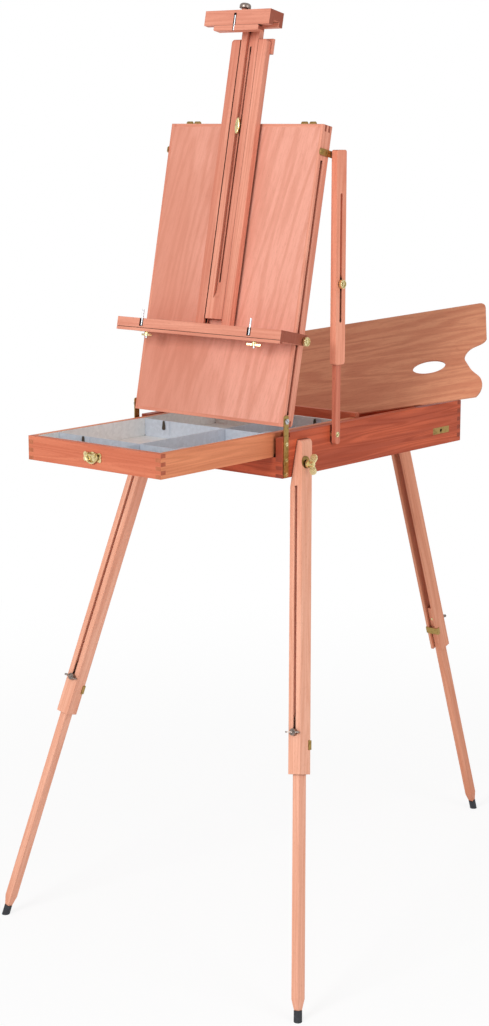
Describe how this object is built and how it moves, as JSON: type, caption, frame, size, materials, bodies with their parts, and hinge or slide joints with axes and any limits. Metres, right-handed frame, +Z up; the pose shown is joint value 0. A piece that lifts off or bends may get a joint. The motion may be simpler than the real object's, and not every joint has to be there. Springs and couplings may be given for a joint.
{
  "type": "sketch box easel",
  "caption": "Folding sketch box easel: a shallow wooden box with a tray drawer, tilting lid with a sliding mast and canvas ledge, telescopic legs and a loose palette",
  "frame": {"origin": "bottom centre of the bounding box, on the floor", "axes": "+X to the painter's right, +Y away from the painter, +Z up"},
  "size_m": [0.7606, 1.2472, 1.7642],
  "materials": {
    "box_wood": "oiled red-brown hardwood, satin",
    "drawer_wood": "oiled beech, satin",
    "plywood": "thin plywood, oiled",
    "lid_wood": "oiled pinkish beech, satin",
    "leg_wood": "oiled pale beech, satin",
    "palette_plywood": "stained plywood",
    "brass": "polished brass plating",
    "steel": "plated steel",
    "dark_metal": "darkened plated steel",
    "zinc": "zinc sheet",
    "rubber": "black rubber",
    "knob_grey": "dark grey domed plastic"
  },
  "bodies": {
    "box": {"box_side_right": "box_wood", "box_side_left": "box_wood", "box_ends": "box_wood", "box_floor": "plywood", "drawer_runners": "box_wood", "box_brass_plates": "brass", "box_screws": "brass", "rear_hinge_cheeks": "box_wood"},
    "drawer": {"drawer_sides": "drawer_wood", "drawer_front": "drawer_wood", "drawer_back": "drawer_wood", "drawer_bottom": "plywood", "tray": "zinc", "tray_dividers": "zinc", "tray_levers": "dark_metal", "pull_plate": "brass"},
    "drawer_pull": {"pull_drop": "brass"},
    "lid": {"lid_stiles": "lid_wood", "lid_rails": "lid_wood", "lid_panel": "lid_wood", "lid_fittings": "brass", "lid_pivot_screws": "steel"},
    "mast": {"mast_frame": "lid_wood"},
    "mast_centre": {"mast_bar": "lid_wood", "clamp_block": "lid_wood"},
    "canvas_lip": {"clamp_lip": "lid_wood", "clamp_pin": "steel"},
    "clamp_knob": {"clamp_knob": "knob_grey"},
    "mast_screw": {"mast_screw": "brass"},
    "ledge": {"ledge_board": "lid_wood", "ledge_pins": "steel"},
    "leg_rear_upper": {"leg_upper_rear": "leg_wood", "leg_strap_rear": "brass"},
    "leg_rear_lower": {"leg_lower_rear": "leg_wood", "leg_foot_rear": "rubber", "leg_screw_rear": "brass"},
    "leg_clamp_rear": {"leg_clamp_rear": "dark_metal"},
    "palette": {"palette": "palette_plywood"},
    "stay_lower_right": {"stay_lower_right": "leg_wood"},
    "stay_upper_right": {"stay_upper_right": "leg_wood"},
    "stay_knob_right": {"stay_knob_right": "brass"},
    "ledge_wing_right": {"ledge_wing_right": "brass"},
    "ledge_knob_right": {"ledge_knob_right": "brass"},
    "leg_bolt_right": {"leg_bolt_right": "brass"},
    "leg_upper_right": {"leg_upper_right": "leg_wood", "leg_fittings_right": "brass"},
    "leg_lower_right": {"leg_lower_right": "leg_wood", "leg_foot_right": "rubber"},
    "leg_clamp_right": {"leg_clamp_right": "dark_metal"},
    "stay_lower_left": {"stay_lower_left": "leg_wood"},
    "stay_upper_left": {"stay_upper_left": "leg_wood"},
    "stay_knob_left": {"stay_knob_left": "brass"},
    "ledge_wing_left": {"ledge_wing_left": "brass"},
    "ledge_knob_left": {"ledge_knob_left": "brass"},
    "leg_bolt_left": {"leg_bolt_left": "brass"},
    "leg_upper_left": {"leg_upper_left": "leg_wood", "leg_fittings_left": "brass"},
    "leg_lower_left": {"leg_lower_left": "leg_wood", "leg_foot_left": "rubber"},
    "leg_clamp_left": {"leg_clamp_left": "dark_metal"}
  },
  "joints": [
    {"name": "drawer_slide", "type": "slide", "parent": "box", "child": "drawer", "axis": [0, 1, 0], "range_m": [-0.205, 0.047]},
    {"name": "pull_swing", "type": "hinge", "parent": "drawer", "child": "drawer_pull", "pos_m": [0, -0.62037, 0.9849], "axis": [-1, 0, 0], "range_deg": [0, 100]},
    {"name": "lid_tilt", "type": "hinge", "parent": "box", "child": "lid", "pos_m": [0, -0.30737, 1.025], "axis": [-1, 0, 0], "range_deg": [-4, 55]},
    {"name": "stay_swing_right", "type": "hinge", "parent": "box", "child": "stay_lower_right", "pos_m": [0.18965, -0.16881, 0.9858], "axis": [-1, 0, 0], "range_deg": [-4.78, 59.37]},
    {"name": "stay_slide_right", "type": "slide", "parent": "stay_lower_right", "child": "stay_upper_right", "axis": [0, 0, 1], "range_m": [-0.1307, 0.0104]},
    {"name": "stay_knob_turn_right", "type": "hinge", "parent": "stay_lower_right", "child": "stay_knob_right", "pos_m": [0.198, -0.16881, 1.2628], "axis": [1, 0, 0], "continuous": true},
    {"name": "stay_swing_left", "type": "hinge", "parent": "box", "child": "stay_lower_left", "pos_m": [-0.18965, -0.16881, 0.9858], "axis": [-1, 0, 0], "range_deg": [-4.78, 59.37]},
    {"name": "stay_slide_left", "type": "slide", "parent": "stay_lower_left", "child": "stay_upper_left", "axis": [0, 0, 1], "range_m": [-0.1307, 0.0104]},
    {"name": "stay_knob_turn_left", "type": "hinge", "parent": "stay_lower_left", "child": "stay_knob_left", "pos_m": [-0.198, -0.16881, 1.2628], "axis": [1, 0, 0], "continuous": true},
    {"name": "mast_slide", "type": "slide", "parent": "lid", "child": "mast", "axis": [0, 0.2045, 0.9789], "range_m": [-0.105, 0.12]},
    {"name": "mast_centre_slide", "type": "slide", "parent": "mast", "child": "mast_centre", "axis": [0, 0.2045, 0.9789], "range_m": [-0.035, 0]},
    {"name": "canvas_lip_slide", "type": "slide", "parent": "mast_centre", "child": "canvas_lip", "axis": [0, -0.2045, -0.9789], "range_m": [0, 0.011]},
    {"name": "clamp_knob_turn", "type": "hinge", "parent": "mast_centre", "child": "clamp_knob", "pos_m": [0, -0.20484, 1.7471], "axis": [0, 0.2045, 0.9789], "continuous": true},
    {"name": "mast_screw_turn", "type": "hinge", "parent": "lid", "child": "mast_screw", "pos_m": [0, -0.22266, 1.54446], "axis": [0, 0.9789, -0.2045], "continuous": true},
    {"name": "ledge_slide", "type": "slide", "parent": "lid", "child": "ledge", "axis": [0, 0.2045, 0.9789], "range_m": [-0.12, 0.28]},
    {"name": "ledge_wing_turn_right", "type": "hinge", "parent": "ledge", "child": "ledge_wing_right", "pos_m": [0.1306, -0.33316, 1.16708], "axis": [0, 0.2045, 0.9789], "continuous": true},
    {"name": "ledge_knob_turn_right", "type": "hinge", "parent": "ledge", "child": "ledge_knob_right", "pos_m": [0.198, -0.27394, 1.16697], "axis": [1, 0, 0], "continuous": true},
    {"name": "ledge_wing_turn_left", "type": "hinge", "parent": "ledge", "child": "ledge_wing_left", "pos_m": [-0.1306, -0.33316, 1.16708], "axis": [0, -0.2045, -0.9789], "continuous": true},
    {"name": "ledge_knob_turn_left", "type": "hinge", "parent": "ledge", "child": "ledge_knob_left", "pos_m": [-0.198, -0.27394, 1.16697], "axis": [1, 0, 0], "continuous": true},
    {"name": "leg_bolt_slide_right", "type": "slide", "parent": "box", "child": "leg_bolt_right", "axis": [1, 0, 0], "range_m": [0, 0.0105]},
    {"name": "leg_fold_right", "type": "hinge", "parent": "leg_bolt_right", "child": "leg_upper_right", "pos_m": [0.189, -0.27377, 0.9468], "axis": [0.9925, 0.0754, 0.0959], "range_deg": [0, 104.1]},
    {"name": "leg_length_right", "type": "slide", "parent": "leg_upper_right", "child": "leg_lower_right", "axis": [-0.186, 0.236, 0.9538], "range_m": [0, 0.42]},
    {"name": "leg_clamp_turn_right", "type": "hinge", "parent": "leg_lower_right", "child": "leg_clamp_right", "pos_m": [0.27784, -0.39788, 0.48627], "axis": [0.0452, 0.9718, -0.2316], "continuous": true},
    {"name": "leg_bolt_slide_left", "type": "slide", "parent": "box", "child": "leg_bolt_left", "axis": [-1, 0, 0], "range_m": [0, 0.0105]},
    {"name": "leg_fold_left", "type": "hinge", "parent": "leg_bolt_left", "child": "leg_upper_left", "pos_m": [-0.189, -0.27377, 0.9468], "axis": [0.9925, -0.0754, -0.0959], "range_deg": [0, 104.1]},
    {"name": "leg_length_left", "type": "slide", "parent": "leg_upper_left", "child": "leg_lower_left", "axis": [0.186, 0.236, 0.9538], "range_m": [0, 0.42]},
    {"name": "leg_clamp_turn_left", "type": "hinge", "parent": "leg_lower_left", "child": "leg_clamp_left", "pos_m": [-0.27784, -0.39788, 0.48627], "axis": [-0.0452, 0.9718, -0.2316], "continuous": true},
    {"name": "leg_fold_rear", "type": "hinge", "parent": "box", "child": "leg_rear_upper", "pos_m": [0, 0.29323, 0.9028], "axis": [-1, 0, 0], "range_deg": [0, 108]},
    {"name": "leg_length_rear", "type": "slide", "parent": "leg_rear_upper", "child": "leg_rear_lower", "axis": [0, -0.3355, 0.9421], "range_m": [0, 0.39]},
    {"name": "leg_clamp_turn_rear", "type": "hinge", "parent": "leg_rear_lower", "child": "leg_clamp_rear", "pos_m": [0, 0.45845, 0.48502], "axis": [0, -0.9421, -0.3355], "continuous": true},
    {"name": "palette_lift_out", "type": "slide", "parent": "box", "child": "palette", "axis": [0.8803, 0.4405, 0.1761], "range_m": [0, 0.35]}
  ],
  "couplings": [
    {"joint": "stay_swing_right", "follows": "lid_tilt", "ratio": 1.0703},
    {"joint": "stay_slide_right", "follows": "lid_tilt", "m_per_rad": -0.13508},
    {"joint": "stay_swing_left", "follows": "lid_tilt", "ratio": 1.0703},
    {"joint": "stay_slide_left", "follows": "lid_tilt", "m_per_rad": -0.13508},
    {"joint": "leg_bolt_slide_right", "follows": "leg_fold_right", "m_per_rad": 0.0055078},
    {"joint": "leg_bolt_slide_left", "follows": "leg_fold_left", "m_per_rad": 0.0055078}
  ]
}
